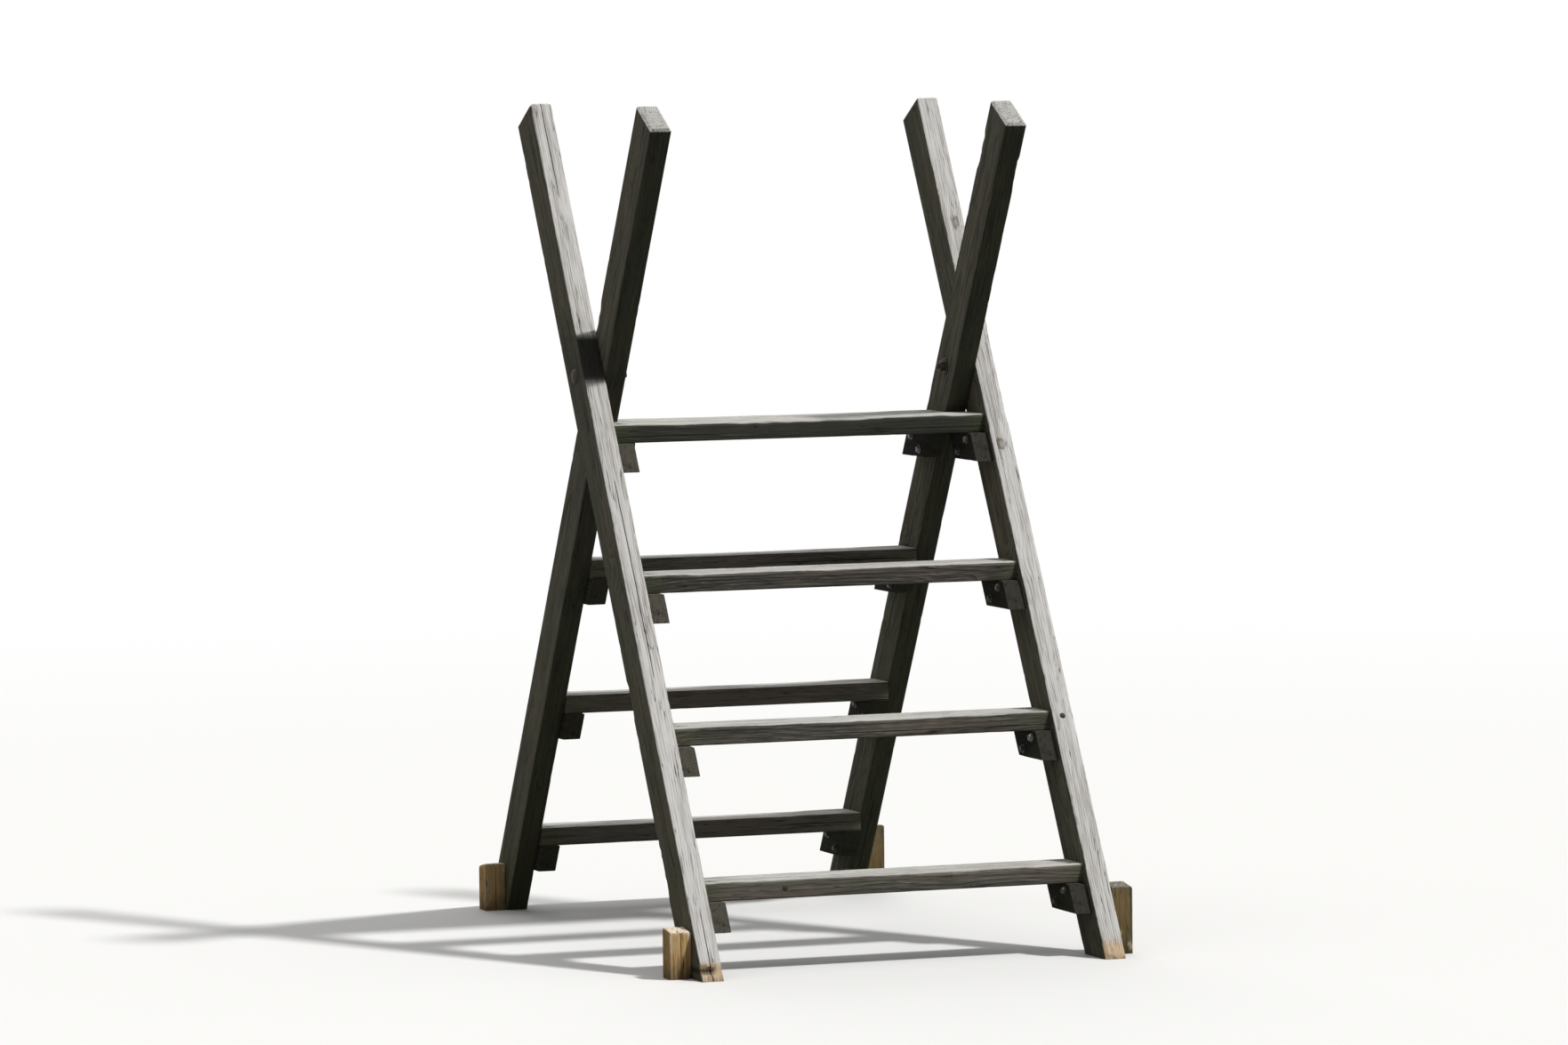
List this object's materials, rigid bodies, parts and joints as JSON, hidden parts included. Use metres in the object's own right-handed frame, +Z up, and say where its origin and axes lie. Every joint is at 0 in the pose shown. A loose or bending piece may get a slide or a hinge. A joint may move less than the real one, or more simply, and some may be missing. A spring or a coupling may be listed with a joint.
{
  "type": "timber ladder stile",
  "caption": "Timber A-frame ladder stile: crossed legs run on up as hand posts and carry treads on cleats, up one side of a fence and down the other, with square pegs beside the feet.",
  "frame": {"origin": "on the ground, midway between the four feet", "axes": "+Z up; X along the treads; -Y is the front ladder, whose legs are the outer pair"},
  "size_m": [0.98, 1.4308, 1.6875],
  "materials": {
    "leg_timber": "sawn softwood weathered silver-grey",
    "tread_timber": "sawn softwood weathered grey, worn along the walking edge",
    "cleat_timber": "sawn softwood weathered dark grey, tinted with algae",
    "peg_timber": "newer sawn softwood, tan, with a pale sawn head",
    "steel_fixings": "dull galvanised bolts, screws and nails"
  },
  "bodies": {
    "root": {"front_left_leg": "leg_timber", "front_left_peg": "peg_timber", "front_right_leg": "leg_timber", "front_right_peg": "peg_timber", "front_top_tread": "tread_timber", "front_top_left_cleat": "cleat_timber", "front_top_right_cleat": "cleat_timber", "front_lower_1_tread": "tread_timber", "front_lower_1_left_cleat": "cleat_timber", "front_lower_1_right_cleat": "cleat_timber", "front_lower_2_tread": "tread_timber", "front_lower_2_left_cleat": "cleat_timber", "front_lower_2_right_cleat": "cleat_timber", "front_lower_3_tread": "tread_timber", "front_lower_3_left_cleat": "cleat_timber", "front_lower_3_right_cleat": "cleat_timber", "rear_left_leg": "leg_timber", "rear_left_peg": "peg_timber", "rear_right_leg": "leg_timber", "rear_right_peg": "peg_timber", "rear_top_tread": "tread_timber", "rear_top_left_cleat": "cleat_timber", "rear_top_right_cleat": "cleat_timber", "rear_lower_1_tread": "tread_timber", "rear_lower_1_left_cleat": "cleat_timber", "rear_lower_1_right_cleat": "cleat_timber", "rear_lower_2_tread": "tread_timber", "rear_lower_2_left_cleat": "cleat_timber", "rear_lower_2_right_cleat": "cleat_timber", "rear_lower_3_tread": "tread_timber", "rear_lower_3_left_cleat": "cleat_timber", "rear_lower_3_right_cleat": "cleat_timber"}
  },
  "joints": []
}
